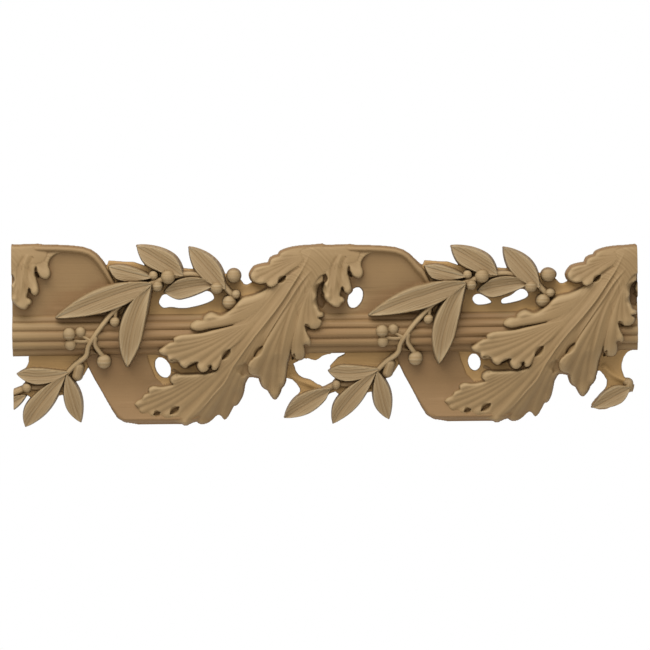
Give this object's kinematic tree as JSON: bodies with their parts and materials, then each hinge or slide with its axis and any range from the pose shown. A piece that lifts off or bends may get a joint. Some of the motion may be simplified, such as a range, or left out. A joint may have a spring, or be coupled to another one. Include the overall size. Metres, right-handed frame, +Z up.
{
  "type": "carved resin moulding",
  "caption": "Length of pierced relief moulding: reeded half-round rod wound with an acanthus ribbon and crossed by laurel sprigs with berries, flat back, square-cut ends.",
  "frame": {"origin": "on the flat back, at mid-length, on the axis of the reeded rod", "axes": "+X along the moulding, to the right as seen from the front; +Y out of the flat back, into the wall; +Z up the height of the carving, which faces -Y"},
  "size_m": [0.3048, 0.0149, 0.0889],
  "materials": {
    "resin": "matte tan cast resin, paler where it stands out and browner in the hollows"
  },
  "bodies": {
    "root": {"moulding": "resin"}
  },
  "joints": []
}
